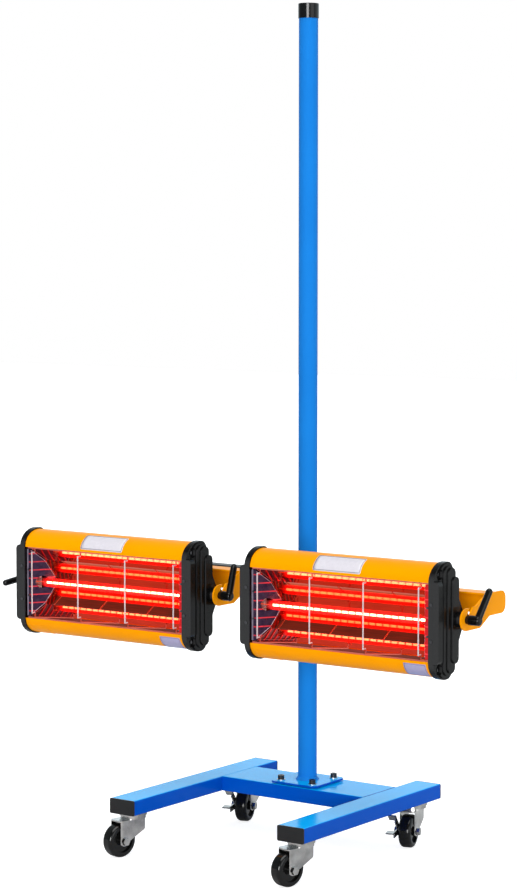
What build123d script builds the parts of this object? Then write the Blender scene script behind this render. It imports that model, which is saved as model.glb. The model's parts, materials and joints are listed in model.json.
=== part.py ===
from build123d import *
import math
import os

os.makedirs("parts", exist_ok=True)

# Every length is in millimetres, +Z is up, the lamp faces -Y and the pole stands
# on the Z axis until the whole lamp is moved to its final frame at the end.

# Base frame
beam_width = 60.0
beam_height = 30.0
beam_wall = 2.0
beam_corner = 3.0
beam_front_reach = 345.0
beam_rear_reach = 135.0
beam_spacing = 400.0
crossbar_front_margin = 2.0
crossbar_rear_margin = 8.0
plug_lip = 2.5
plug_depth = 16.0
plug_wall = 2.0
plug_gap = 0.1

# Pole foot
foot_edge = 17.0
foot_corner = 12.0
foot_thick = 4.0
foot_boss_height = 2.0
foot_boss_radius = 8.0
foot_bolt_pitch = 76.0
foot_bolt_radius = 4.0
foot_bolt_head_radius = 6.5
foot_bolt_head_height = 8.0
foot_bolt_socket = 6.0
foot_bolt_socket_depth = 4.0
foot_bolt_length = 24.0
foot_washer_radius = 8.5
foot_washer_thick = 1.6
foot_nut_across = 13.0
foot_nut_height = 6.5
bolt_hole_gap = 0.4
thread_gap = 0.05

# Pole
pole_radius = 19.0
pole_wall = 1.5
pole_top = 1661.0
weld_height = 6.0
weld_width = 5.0
cap_wall = 1.4
cap_height = 29.0
cap_top_thick = 3.0
cap_gap = 0.05
cap_edge = 1.2

# Casters
wheel_radius = 33.0
wheel_width = 26.0
tyre_round = 7.0
web_inset = 4.5
web_outer = 23.0
wheel_hub_radius = 9.0
wheel_side_gap = 0.3
axle_radius = 4.0
axle_head_across = 14.0
axle_head_height = 7.0
run_gap = 0.05
caster_trail = 35.0
front_swivel_inset = 33.0
rear_swivel_inset = 52.0
wheel_top_gap = 4.5
race_radius = 27.0
race_height = 5.0
stem_radius = 6.0
stem_height = 16.0
stem_gap = 0.1
kingpin_radius = 6.0
kingpin_head_radius = 10.0
kingpin_head_height = 3.0
fork_ring_outer = 25.0
fork_ring_inner = 12.0
fork_ring_height = 5.8
fork_thick = 2.5
fork_side_gap = 2.0
fork_front_overhang = 10.0
fork_rear_reach = 20.0
fork_rear_drop = 20.0
fork_top_corner = 8.0
seat_gap = 0.2
front_swivel_angle = -13.0
rear_swivel_angle = 15.5

# Rear brakes
brake_thick = 2.5
brake_radius = 11.0
brake_arm_length = 36.0
brake_arm_width = 12.0
brake_tab_width = 14.0
brake_tab_length = 15.0
brake_tab_thick = 3.0
brake_up_angle = 45.0
brake_down_angle = -5.0

# Carrier on the pole
sleeve_bottom = 474.0
sleeve_height = 75.0
sleeve_wall = 6.92
sleeve_gap = 0.08
boom_width = 40.0
knob_boss_radius = 10.0
knob_boss_length = 12.0
knob_stud_radius = 4.0
knob_hub_radius = 9.0
knob_hub_height = 5.0
knob_radius = 20.0
knob_height = 14.0
knob_lobe_radius = 6.5
knob_lobes = 5
pole_touch_gap = 0.2
collar_height = 16.0
collar_wall = 7.92
collar_screw_radius = 3.0
collar_screw_head_radius = 5.0
collar_screw_head_height = 5.0

# Support bar
bar_size = 30.0
bar_wall = 2.0
bar_overrun = 22.0
bar_front = 95.0
bar_drop = 12.0
swivel_boss_radius = 18.0
swivel_boss_length = 35.0
swivel_bolt_radius = 6.0
swivel_head_across = 19.0
swivel_head_height = 8.0
swivel_nut_height = 10.0
swivel_thread_reach = 4.0

# Head placing
head_gap = 14.25
head_front = 308.5
head_drop = 22.0
pivot_behind = 12.5

# Head housing
window_half_length = 198.0
window_half_height = 72.0
band_run = 40.0
band_rise = 32.5
housing_depth = 60.0
housing_rear_round = 16.0
housing_wall = 2.0
housing_overlap = 5.0
cover_depth = 8.0
cover_rise = 7.0
cover_wall = 1.5
cover_end_gap = 1.05
vent_length = 46.0
vent_width = 4.0
vent_pitch = 62.0
vent_count = 5
gland_inset = 24.8
gland_drop = 35.0
gland_radius = 9.0
gland_height = 7.0
gland_neck_radius = 6.0
gland_neck_length = 6.0
gland_nose_radius = 6.5
gland_nose_height = 7.0
gland_bore = 3.5

# End caps
cap_skirt = 3.0
cap_base_thick = 11.5
cap_total_thick = 22.0
cap_fit_gap = 0.15
panel_depth = 12.0
panel_rise = 4.0
panel_corner = 9.0
step_count = 3
step_thick = 2.6
step_groove = 2.0
step_pitch = 11.0
step_inset = 0.5
step_drop = 4.0
step_round = 20.0
step_round_drop = 4.5
rear_layer_width = 13.0
rear_layer_round = 10.0
lug_half_height = 42.0
lug_tip_half = 12.0
lug_radius = 15.0
lug_tip_reach = 10.0
lug_base_width = 12.0
boss_radius = 14.0
boss_gap = 0.2
pocket_width = 16.0
pocket_length = 19.5
pocket_depth = 3.0
pocket_y = 15.0
pocket_rise = 10.5

# Reflector and lamp
reflector_front = 2.2
reflector_lip = 5.0
reflector_edge_inset = 3.0
reflector_rear_gap = 2.8
reflector_knee_back_share = 0.515
reflector_knee_height_share = 0.66
reflector_thick = 1.0
reflector_inset = 2.0
end_flange_inset = 1.5
end_flange_width = 8.5
end_flange_y = 4.0
end_thick = 1.0
end_flare_run = 28.0
end_back_gap = 5.2
end_gap = 0.2
end_hole_gap = 3.0
end_rib_count = 6
end_rib_pitch = 16.5
end_rib_size = 1.6
end_rib_start = 4.0
end_rib_length = 45.0
tube_radius = 9.0
tube_wall = 1.2
tube_back = 25.0
tube_inset = 2.0
filament_radius = 2.1
filament_inset = 31.0
lead_radius = 0.8
lead_overrun = 4.0
holder_grip = 9.0
holder_side_wall = 3.5
holder_top_wall = 5.5
holder_gap = 0.05

# Guard wires
wire_radius = 1.4
wire_back = 1.6
wire_end_inset = 8.0
wire_count = 4
wire_inset = 19.5
wire_shift = -4.0
wire_seat_gap = 0.15

# Small screws
screw_radius = 1.5
screw_head_radius = 3.0
screw_head_height = 1.6
screw_length = 2.6
panel_screw_inset = 6.65
panel_screw_z = 33.5
flange_screw_z = 26.0
flange_screw_head = 2.2

# Yokes
boss_reach = 10.65
arm_thick = 3.0
ear_radius = 20.5
slot_width = 9.0
slot_length = 30.0
slot_angle = 36.0
arm_bottom_end = 47.0
arm_diag_run = 34.0
arm_diag_rise = 18.5
arm_overhang = 33.0
arm_rear_round = 15.0
arm_hole_cover = 18.0
lip_start = 30.0
lip_rise = 21.0
flange_width = 35.0

# Clamping levers
stud_radius = 6.5
stud_tip_radius = 4.0
stud_tip_depth = 17.0
lever_gap = 0.2
lever_neck_radius = 7.6
lever_neck_length = 5.0
lever_hub_radius = 9.2
lever_hub_length = 24.0
lever_dome = 4.5
handle_base_radius = 6.9
handle_tip_radius = 6.3
handle_length = 58.0
handle_lean = 9.0
handle_hub_reach = 21.8
right_head_right_angle = -27.0
right_head_left_angle = -3.0
left_head_right_angle = -4.0
left_head_left_angle = 98.0


def block(x0, x1, y0, y1, z0, z1):
    return Pos((x0 + x1) / 2, (y0 + y1) / 2, (z0 + z1) / 2) * Box(x1 - x0, y1 - y0, z1 - z0)


def rod_x(radius, x0, x1, y=0, z=0):
    return Pos((x0 + x1) / 2, y, z) * Rot(0, 90, 0) * Cylinder(radius, abs(x1 - x0))


def rod_y(radius, y0, y1, x=0, z=0):
    return Pos(x, (y0 + y1) / 2, z) * Rot(90, 0, 0) * Cylinder(radius, abs(y1 - y0))


def rod_z(radius, z0, z1, x=0, y=0):
    return Pos(x, y, (z0 + z1) / 2) * Cylinder(radius, abs(z1 - z0))


def side_plate(face, x0, x1):
    """Extrude a face drawn in (y, z) from x0 to x1."""
    return extrude(Plane.YZ.offset(x0) * face, amount=x1 - x0)


def hex_x(across, x0, x1, y, z):
    face = Pos(y, z) * RegularPolygon(across / 2, 6, major_radius=False)
    return side_plate(face, x0, x1)


def hex_y(across, y0, y1, x, z):
    face = RegularPolygon(across / 2, 6, major_radius=False)
    return Pos(x, y1, z) * extrude(Plane.XZ * face, amount=y1 - y0)


def group(solids):
    return Compound(list(solids))


def one(shape):
    """Return the only solid of a shape."""
    found = shape.solids()
    assert len(found) == 1, "a piece came out as %d solids" % len(found)
    return found[0]


# Heights and widths of the base and casters
fork_width = wheel_width + 2 * (fork_side_gap + fork_thick)
beam_bottom = (race_height + seat_gap + fork_ring_height + fork_thick + wheel_top_gap
               + 2 * wheel_radius)
beam_top = beam_bottom + beam_height
beam_mid = (beam_top + beam_bottom) / 2
beam_x = beam_spacing / 2
foot_size = foot_bolt_pitch + 2 * foot_edge
foot_bottom = beam_top + foot_boss_height
foot_top = foot_bottom + foot_thick
crossbar_front_reach = foot_size / 2 + crossbar_front_margin
crossbar_rear_reach = foot_size / 2 + crossbar_rear_margin
front_swivel_reach = beam_front_reach - front_swivel_inset
rear_swivel_reach = beam_rear_reach - rear_swivel_inset

# Sizes of the carrier
sleeve_radius = pole_radius + sleeve_gap + sleeve_wall
sleeve_top = sleeve_bottom + sleeve_height
knob_boss_reach = sleeve_radius + knob_boss_length
collar_radius = pole_radius + sleeve_gap + collar_wall
bar_level = sleeve_top - bar_drop
bar_rear = bar_front - bar_size
head_level = bar_level - head_drop

# Places along the head, from its middle outward
cap_inner = window_half_length - cap_fit_gap
cap_outer_x = cap_inner + cap_total_thick
housing_end = cap_inner + housing_overlap
arm_inner = cap_outer_x + boss_reach
boss_end = arm_inner - boss_gap
cover_half_length = cap_inner - cover_end_gap
gland_x = cover_half_length - gland_inset
reflector_half_length = window_half_length - reflector_inset
end_flange_outer = window_half_length - end_flange_inset
end_flange_inner = end_flange_outer - end_flange_width
end_back_x = end_flange_inner - end_flare_run
tube_half_length = window_half_length - tube_inset
filament_half_length = tube_half_length - filament_inset
lead_half_length = tube_half_length + lead_overrun
holder_start = tube_half_length - holder_grip
wire_pitch = 2 * (window_half_length - wire_inset) / (wire_count - 1)
wire_places = [wire_shift + (i - (wire_count - 1) / 2) * wire_pitch for i in range(wire_count)]
panel_screw_x = cap_inner + panel_screw_inset
flange_screw_x = (end_flange_inner + end_flange_outer) / 2

# Heights above the head's middle, and depths behind its front plane
cover_half_height = window_half_height + cover_rise
panel_half_height = window_half_height + panel_rise
step_height = window_half_height + band_rise - step_inset
pocket_z = panel_half_height + pocket_rise
reflector_half_height = window_half_height - reflector_edge_inset
wire_half_height = reflector_half_height - wire_end_inset
holder_half_height = tube_radius + holder_top_wall
holder_half_depth = tube_radius + holder_side_wall
end_hole_radius = tube_radius + end_hole_gap
step_start = panel_depth + step_groove
rear_layer_start = housing_depth - rear_layer_width
lug_base_start = housing_depth - lug_base_width / 2
lug_base_end = housing_depth + lug_base_width / 2
pivot_back = housing_depth + pivot_behind
reflector_apex = housing_depth - housing_wall - reflector_rear_gap - reflector_thick
reflector_depth = reflector_apex - reflector_front
end_back_y = reflector_apex - end_back_gap

# Yoke, from the pivot backward
pivot_reach = head_front - pivot_back
back_plate_reach = bar_front + swivel_boss_length
yoke_back = pivot_reach - back_plate_reach
yoke_flange = yoke_back - flange_width
arm_rear = yoke_back + arm_overhang
arm_top_start = yoke_flange
arm_top = head_drop + arm_hole_cover
ear_hole_radius = stud_radius + run_gap

# Places of the heads and the length of the bar that carries them
lever_reach = (lever_gap + handle_hub_reach + handle_tip_radius
               + handle_length * math.sin(math.radians(handle_lean)))
head_x = arm_inner + arm_thick + lever_reach + head_gap / 2
bar_half_length = head_x + swivel_boss_radius + bar_overrun

parts = {}
swivels = {
    "front_left": (-beam_x, -front_swivel_reach, front_swivel_angle),
    "front_right": (beam_x, -front_swivel_reach, front_swivel_angle),
    "rear_left": (-beam_x, rear_swivel_reach, rear_swivel_angle),
    "rear_right": (beam_x, rear_swivel_reach, rear_swivel_angle),
}


# Base beams: rectangular tubes with a hole in the lower wall for each caster stem
def beam(x):
    y0, y1 = -beam_front_reach, beam_rear_reach
    half = beam_width / 2
    body = block(x - half, x + half, y0, y1, beam_bottom, beam_top)
    body = fillet(body.edges().filter_by(Axis.Y), beam_corner)
    half -= beam_wall
    body -= block(x - half, x + half, y0, y1, beam_bottom + beam_wall, beam_top - beam_wall)
    for sx, sy, angle in swivels.values():
        if sx == x:
            body -= rod_z(stem_radius + stem_gap, beam_bottom, beam_mid, sx, sy)
    return one(body)


parts["left_beam"] = beam(-beam_x)
parts["right_beam"] = beam(beam_x)


# Crossbar with four welded bosses that lift the foot plate
def bolt_spots():
    half = foot_bolt_pitch / 2
    return [(sx * half, sy * half) for sx in (-1, 1) for sy in (-1, 1)]


def crossbar():
    x = beam_x - beam_width / 2
    body = block(-x, x, -crossbar_front_reach, crossbar_rear_reach, beam_bottom, beam_top)
    body = fillet(body.edges().filter_by(Axis.X), beam_corner)
    body -= block(-x, x, beam_wall - crossbar_front_reach, crossbar_rear_reach - beam_wall,
                  beam_bottom + beam_wall, beam_top - beam_wall)
    for bx, by in bolt_spots():
        body += rod_z(foot_boss_radius, beam_top - beam_wall / 2, foot_bottom, bx, by)
    for bx, by in bolt_spots():
        body -= rod_z(foot_bolt_radius + bolt_hole_gap, beam_mid, foot_bottom, bx, by)
    return one(body)


parts["crossbar"] = crossbar()


# Plastic plugs in the ends of the beams
def plug(x, y, side):
    half_w = beam_width / 2
    lip = block(x - half_w, x + half_w, min(y, y + side * plug_lip), max(y, y + side * plug_lip),
                beam_bottom, beam_top)
    lip = fillet(lip.edges().filter_by(Axis.Y), beam_corner)
    inner_w = half_w - beam_wall - plug_gap
    inner_y = y - side * plug_depth
    skirt = block(x - inner_w, x + inner_w, min(y, inner_y), max(y, inner_y),
                  beam_bottom + beam_wall + plug_gap, beam_top - beam_wall - plug_gap)
    inner_w -= plug_wall
    skirt -= block(x - inner_w, x + inner_w, min(y, inner_y), max(y, inner_y),
                   beam_bottom + beam_wall + plug_gap + plug_wall,
                   beam_top - beam_wall - plug_gap - plug_wall)
    return one(lip + skirt)


parts["beam_end_caps"] = group(
    plug(x, y, side)
    for x in (-beam_x, beam_x)
    for y, side in ((-beam_front_reach, -1), (beam_rear_reach, 1)))


# Foot plate with its bolts, washers and nuts
plate = Pos(0, 0, foot_bottom) * extrude(RectangleRounded(foot_size, foot_size, foot_corner),
                                         amount=foot_thick)
for bx, by in bolt_spots():
    plate -= rod_z(foot_bolt_radius + bolt_hole_gap, foot_bottom, foot_top, bx, by)
parts["foot_plate"] = one(plate)

washer_top = foot_top + foot_washer_thick
nut_top = beam_top - beam_wall


def foot_bolt(x, y):
    head = rod_z(foot_bolt_head_radius, washer_top, washer_top + foot_bolt_head_height, x, y)
    socket = RegularPolygon(foot_bolt_socket / 2, 6, major_radius=False)
    head_top = washer_top + foot_bolt_head_height
    head -= Pos(x, y, head_top - foot_bolt_socket_depth) * extrude(
        socket, amount=foot_bolt_socket_depth)
    return one(head + rod_z(foot_bolt_radius, washer_top - foot_bolt_length, washer_top, x, y))


def foot_washer(x, y):
    ring = rod_z(foot_washer_radius, foot_top, washer_top, x, y)
    return one(ring - rod_z(foot_bolt_radius + thread_gap, foot_top, washer_top, x, y))


def foot_nut(x, y):
    body = Pos(x, y, nut_top - foot_nut_height) * extrude(
        RegularPolygon(foot_nut_across / 2, 6, major_radius=False), amount=foot_nut_height)
    return one(body - rod_z(foot_bolt_radius + thread_gap, nut_top - foot_nut_height,
                            nut_top, x, y))


parts["foot_bolts"] = group(foot_bolt(x, y) for x, y in bolt_spots())
parts["foot_washers"] = group(foot_washer(x, y) for x, y in bolt_spots())
parts["foot_nuts"] = group(foot_nut(x, y) for x, y in bolt_spots())

# Pole with the weld bead round its foot, and the cap pushed over its top
pole = rod_z(pole_radius, foot_top, pole_top)
pole += Pos(0, 0, foot_top + weld_height / 2) * Cone(pole_radius + weld_width, pole_radius,
                                                     weld_height)
pole -= rod_z(pole_radius - pole_wall, foot_top, pole_top)
parts["pole"] = one(pole)

cap_outer = pole_radius + cap_wall
total_top = pole_top + cap_top_thick
cap = rod_z(cap_outer, total_top - cap_height, total_top)
cap = fillet(cap.edges().group_by(Axis.Z)[-1], cap_edge)
cap -= rod_z(pole_radius + cap_gap, total_top - cap_height, pole_top)
parts["pole_cap"] = one(cap)


# Caster pieces, drawn with the swivel axis on Z and the trail along -Y
race_bottom = beam_bottom - race_height
fork_ring_top = race_bottom - seat_gap
fork_top = fork_ring_top - fork_ring_height
fork_under = fork_top - fork_thick


def caster_mount():
    body = rod_z(race_radius, race_bottom, beam_bottom)
    body += rod_z(stem_radius, beam_bottom, beam_bottom + stem_height)
    head_top = fork_under - seat_gap
    body += rod_z(kingpin_radius, head_top, race_bottom)
    body += rod_z(kingpin_head_radius, head_top - kingpin_head_height, head_top)
    return one(body)


def caster_fork():
    half = fork_width / 2
    front = -caster_trail - fork_front_overhang
    top = Pos(0, (front + fork_rear_reach) / 2, fork_under) * extrude(
        RectangleRounded(fork_width, fork_rear_reach - front, fork_top_corner),
        amount=fork_thick)
    body = top + rod_z(fork_ring_outer, fork_top, fork_ring_top) \
        - rod_z(fork_ring_inner, fork_top, fork_ring_top)
    outline = Polyline((front, fork_top), (front, wheel_radius),
                       (-caster_trail, wheel_radius - fork_front_overhang),
                       (-caster_trail + fork_front_overhang / 2,
                        wheel_radius - fork_front_overhang / 2),
                       (fork_rear_reach, fork_top - fork_rear_drop),
                       (fork_rear_reach, fork_top), (front, fork_top))
    cheek = make_face(outline)
    cheek += Pos(-caster_trail, wheel_radius) * Circle(fork_front_overhang)
    for x0 in (-half, half - fork_thick):
        side = side_plate(cheek, x0, x0 + fork_thick)
        body += side & Pos(0, (front + fork_rear_reach) / 2, 0) * extrude(
            RectangleRounded(fork_width, fork_rear_reach - front, fork_top_corner),
            amount=fork_top)
    body -= rod_z(kingpin_radius + run_gap, fork_under, fork_top)
    body -= rod_x(axle_radius + thread_gap, -half, half, -caster_trail, wheel_radius)
    return one(body)


def caster_wheel():
    half = wheel_width / 2
    tyre = rod_x(wheel_radius, -half, half)
    tyre = fillet(tyre.edges().filter_by(GeomType.CIRCLE), tyre_round)
    for x0, x1 in ((-half, web_inset - half), (half - web_inset, half)):
        tyre -= rod_x(web_outer, x0, x1)
    hub_half = fork_width / 2 - fork_thick - wheel_side_gap
    tyre += rod_x(wheel_hub_radius, -hub_half, hub_half)
    tyre -= rod_x(axle_radius + run_gap, -hub_half, hub_half)
    return one(Pos(0, -caster_trail, wheel_radius) * tyre)


def caster_axle(braked):
    half = fork_width / 2
    left = -half - (brake_thick + seat_gap + seat_gap if braked else 0)
    y, z = -caster_trail, wheel_radius
    bolt = rod_x(axle_radius, left - axle_head_height, half, y, z)
    bolt += hex_x(axle_head_across, half, half + axle_head_height, y, z)
    nut = hex_x(axle_head_across, left - axle_head_height, left, y, z)
    nut -= rod_x(axle_radius + thread_gap, left - axle_head_height, left, y, z)
    return group([one(bolt), one(nut)])


def brake_pedal():
    """Plate beside the wheel that turns on the axle, with two treads bent outward."""
    y, z = -caster_trail, wheel_radius
    x1 = -fork_width / 2 - seat_gap
    x0 = x1 - brake_thick
    body = rod_x(brake_radius, x0, x1)
    for angle in (brake_up_angle, brake_down_angle):
        arm = block(x0, x1, -brake_arm_length, 0, -brake_arm_width / 2, brake_arm_width / 2)
        tab = block(x0 - brake_tab_width, x1, -brake_arm_length - brake_tab_length / 2,
                    brake_tab_length / 2 - brake_arm_length,
                    brake_arm_width / 2 - brake_tab_thick, brake_arm_width / 2)
        body += Rot(-angle, 0, 0) * (arm + tab)
    body -= rod_x(axle_radius + run_gap, x0, x1)
    return one(Pos(0, y, z) * body)


def placed(shape, where):
    x, y, angle = where
    return Pos(x, y, 0) * Rot(0, 0, angle) * shape


parts["caster_mounts"] = group(placed(caster_mount(), where) for where in swivels.values())
for corner, where in swivels.items():
    rear = corner.startswith("rear")
    parts[corner + "_fork"] = placed(caster_fork(), where)
    parts[corner + "_wheel"] = placed(caster_wheel(), where)
    parts[corner + "_axle"] = placed(caster_axle(rear), where)
    if rear:
        parts[corner + "_brake"] = placed(brake_pedal(), where)

# Sleeve that slides and turns on the pole, with its boom to the support bar
knob_level = (sleeve_bottom + sleeve_top) / 2
sleeve = rod_z(sleeve_radius, sleeve_bottom, sleeve_top)
sleeve += block(-boom_width / 2, boom_width / 2, -bar_rear, 0,
                bar_level - bar_size / 2, min(bar_level + bar_size / 2, sleeve_top))
sleeve += rod_y(knob_boss_radius, 0, knob_boss_reach, 0, knob_level)
sleeve -= rod_z(pole_radius + sleeve_gap, sleeve_bottom, sleeve_top)
sleeve -= rod_y(knob_stud_radius + run_gap, 0, knob_boss_reach, 0, knob_level)
parts["pole_sleeve"] = one(sleeve)

knob_start = knob_boss_reach + seat_gap
knob_end = knob_start + knob_hub_height + knob_height
knob = rod_y(knob_stud_radius, pole_radius + pole_touch_gap, knob_end)
knob += rod_y(knob_hub_radius, knob_start, knob_start + knob_hub_height)
knob += rod_y(knob_radius - knob_lobe_radius, knob_start + knob_hub_height, knob_end)
for i in range(knob_lobes):
    lobe = rod_y(knob_lobe_radius, knob_start + knob_hub_height, knob_end,
                 knob_radius - knob_lobe_radius)
    knob += Rot(0, 360 * i / knob_lobes, 0) * lobe
parts["sleeve_knob"] = one(Pos(0, 0, knob_level) * knob)

# Stop collar under the sleeve, with the screw that holds it at its height
collar_top = sleeve_bottom - seat_gap
collar = rod_z(collar_radius, collar_top - collar_height, collar_top)
collar -= rod_z(pole_radius + sleeve_gap, collar_top - collar_height, collar_top)
collar_level = collar_top - collar_height / 2
collar -= rod_x(collar_screw_radius + thread_gap, 0, collar_radius, 0, collar_level)
collar_screw = rod_x(collar_screw_radius, pole_radius + pole_touch_gap,
                     collar_radius + collar_screw_head_height, 0, collar_level)
collar_screw += rod_x(collar_screw_head_radius, collar_radius,
                      collar_radius + collar_screw_head_height, 0, collar_level)
parts["stop_collar"] = group([one(collar), one(collar_screw)])

# Support bar with a boss for each yoke
half_bar = bar_size / 2
bar = block(-bar_half_length, bar_half_length, -bar_front, -bar_rear,
            bar_level - half_bar, bar_level + half_bar)
bar = fillet(bar.edges().filter_by(Axis.X), beam_corner)
bar -= block(-bar_half_length, bar_half_length, bar_wall - bar_front, -bar_rear - bar_wall,
             bar_level - half_bar + bar_wall, bar_level + half_bar - bar_wall)
for x in (-head_x, head_x):
    bar += rod_y(swivel_boss_radius, -back_plate_reach + seat_gap, -bar_front, x, bar_level)
    bar -= rod_y(swivel_bolt_radius + thread_gap, -back_plate_reach, -bar_rear, x, bar_level)
parts["support_bar"] = one(bar)


def bar_plug(side):
    x = side * bar_half_length
    lip_end = x + side * plug_lip
    y_mid = -(bar_front + bar_rear) / 2
    lip = block(min(x, lip_end), max(x, lip_end), -bar_front, -bar_rear,
                bar_level - half_bar, bar_level + half_bar)
    lip = fillet(lip.edges().filter_by(Axis.X), beam_corner)
    inner = half_bar - bar_wall - plug_gap
    skirt_end = x - side * plug_depth
    skirt = block(min(x, skirt_end), max(x, skirt_end), y_mid - inner, y_mid + inner,
                  bar_level - inner, bar_level + inner)
    inner -= plug_wall
    skirt -= block(min(x, skirt_end), max(x, skirt_end), y_mid - inner, y_mid + inner,
                   bar_level - inner, bar_level + inner)
    return one(lip + skirt)


parts["bar_end_caps"] = group([bar_plug(-1), bar_plug(1)])


# Head pieces, drawn about x = 0 with y = 0 at the front plane and z = 0 at mid height
def head_outline(grow):
    top = window_half_height + band_rise
    rear_y = housing_depth - housing_rear_round
    rear_z = top - housing_rear_round
    edges = [Line((-grow, -window_half_height), (-grow, window_half_height)),
             Line((housing_depth + grow, -rear_z), (housing_depth + grow, rear_z))]
    for side in (-1, 1):
        start = 90 if side > 0 else 180
        edges.append(EllipticalCenterArc((band_run, side * window_half_height),
                                         band_run + grow, band_rise + grow,
                                         start_angle=start, arc_size=90))
        edges.append(Line((band_run, side * (top + grow)), (rear_y, side * (top + grow))))
        start = 0 if side > 0 else 270
        edges.append(CenterArc((rear_y, side * rear_z), housing_rear_round + grow, start, 90))
    return make_face(Wire(edges))


def tall_plate(y0, y1, half_height, radius):
    return Pos((y0 + y1) / 2, 0) * RectangleRounded(y1 - y0, half_height * 2, radius)


def housing():
    shell = head_outline(0) - head_outline(-housing_wall)
    body = side_plate(shell, -housing_end, housing_end)
    body -= block(-housing_end, housing_end, -housing_wall, housing_wall * 2,
                  -window_half_height, window_half_height)
    return one(body)


def end_cap():
    """Right-hand end cap; the left-hand one is its mirror image."""
    base_end = cap_inner + cap_base_thick
    body = side_plate(head_outline(cap_skirt), cap_inner, base_end)
    rear_end = housing_depth + cover_depth
    panel = side_plate(tall_plate(-cap_skirt, panel_depth, panel_half_height, cap_skirt),
                       base_end, cap_outer_x)
    front_view = RectangleRounded(2 * (cap_outer_x - base_end), 2 * panel_half_height,
                                  panel_corner)
    body += panel & Pos(base_end, panel_depth, 0) * extrude(
        Rot(90, 0, 0) * front_view, amount=panel_depth + cap_skirt, dir=(0, -1, 0))
    for i in range(step_count):
        step = tall_plate(step_start + i * step_pitch, housing_depth,
                          step_height - i * step_drop, step_round - i * step_round_drop)
        body += side_plate(step, base_end, base_end + (i + 1) * step_thick)
    body += side_plate(tall_plate(rear_layer_start, rear_end, cover_half_height,
                                  rear_layer_round), cap_inner, cap_outer_x)
    tip = pivot_back + lug_tip_reach
    lug = make_face(Polyline((lug_base_start, -lug_half_height), (lug_base_end, -lug_half_height),
                             (tip, -lug_tip_half), (tip, lug_tip_half),
                             (lug_base_end, lug_half_height), (lug_base_start, lug_half_height),
                             (lug_base_start, -lug_half_height)))
    lug += Pos(pivot_back, 0) * Circle(lug_radius)
    body += side_plate(lug, base_end, cap_outer_x)
    body += rod_x(boss_radius, cap_outer_x - cap_skirt, boss_end, pivot_back)
    body -= side_plate(head_outline(cap_fit_gap), cap_inner, housing_end)
    body -= rod_x(stud_tip_radius + run_gap, boss_end - stud_tip_depth, boss_end, pivot_back)
    slot = Pos(pocket_y, 0) * SlotOverall(pocket_length, pocket_width, 90)
    for side in (-1, 1):
        z = side * pocket_z
        body -= Pos(0, 0, z) * side_plate(slot, base_end - pocket_depth, cap_outer_x)
        body -= rod_x(screw_radius + thread_gap, base_end - pocket_depth - screw_length,
                      base_end, pocket_y, z)
        body -= rod_y(screw_radius + thread_gap, -cap_skirt, screw_length - cap_skirt,
                      panel_screw_x, side * panel_screw_z)
    return one(body)


def reflector_corners():
    """Front edge, fold and apex of the trough, upper half."""
    knee = (reflector_front + reflector_depth * reflector_knee_back_share,
            reflector_half_height * reflector_knee_height_share)
    return (reflector_front, reflector_half_height), knee, (reflector_apex, 0)


def trough(shift):
    """Inside of the four-sided trough, moved outward by the given shift."""
    front, knee, apex = reflector_corners()
    lower = [(y, -z) for y, z in (knee, front)]
    face = make_face(Polyline(front, knee, apex, *lower, front))
    if shift == 0:
        return face
    grown = offset(face, amount=shift, kind=Kind.INTERSECTION)
    ahead = Pos(reflector_front - reflector_half_height / 2, 0) * Rectangle(
        reflector_half_height, reflector_half_height * 4)
    return grown - ahead


def wire_seat(z):
    """Depth at which a guard wire's end meets the outer side of the trough."""
    front, knee, _ = reflector_corners()
    return front[0] + (knee[0] - front[0]) * (front[1] - z) / (front[1] - knee[1])


def reflector():
    body = side_plate(trough(reflector_thick) - trough(0), -reflector_half_length,
                      reflector_half_length)
    for side in (-1, 1):
        z0 = side * (reflector_half_height + reflector_thick / 2)
        z1 = side * (reflector_half_height + reflector_lip)
        body += block(-reflector_half_length, reflector_half_length, reflector_front,
                      reflector_front + reflector_thick, min(z0, z1), max(z0, z1))
    return one(body)


def reflector_end(side):
    """Flared end plate with a front flange, ribs and a hole for the lamp tube."""
    run_x = end_flange_inner - end_back_x
    run_y = end_back_y - end_flange_y
    length = (run_x * run_x + run_y * run_y) ** 0.5
    lean = Vector(run_y, run_x, 0).get_angle(Vector(1, 0, 0))
    half = reflector_half_height
    body = block(0, length, 0, end_thick, -half, half)
    for i in range(end_rib_count):
        z = (i - (end_rib_count - 1) / 2) * end_rib_pitch
        body += block(end_rib_start, end_rib_start + end_rib_length, -end_rib_size, end_thick / 2,
                      z - end_rib_size / 2, z + end_rib_size / 2)
    body = Pos(-end_flange_inner, end_flange_y, 0) * Rot(0, 0, 90 - lean) * body
    body += block(-end_flange_outer, end_thick - end_flange_inner, end_flange_y,
                  end_flange_y + end_thick, -half, half)
    body &= side_plate(trough(-end_gap), -window_half_length, 0)
    body -= rod_x(end_hole_radius, -window_half_length, 0, tube_back)
    for z in (-flange_screw_z, flange_screw_z):
        body -= rod_y(screw_radius + thread_gap, end_flange_y, end_flange_y + end_thick,
                      -flange_screw_x, z)
    return one(body if side < 0 else mirror(body, about=Plane.YZ))


def lamp_tube():
    body = rod_x(tube_radius, -tube_half_length, tube_half_length, tube_back)
    return one(body - rod_x(tube_radius - tube_wall, -tube_half_length, tube_half_length,
                            tube_back))


def filament():
    body = rod_x(filament_radius, -filament_half_length, filament_half_length, tube_back)
    return one(body + rod_x(lead_radius, -lead_half_length, lead_half_length, tube_back))


def holder(side):
    x0, x1 = holder_start, housing_end
    body = block(x0, x1, tube_back - holder_half_depth, tube_back + holder_half_depth,
                 -holder_half_height, holder_half_height)
    body -= rod_x(tube_radius + holder_gap, x0, tube_half_length + holder_gap, tube_back)
    body -= rod_x(lead_radius + holder_gap, x0, x1, tube_back)
    return one(body if side > 0 else mirror(body, about=Plane.YZ))


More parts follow.
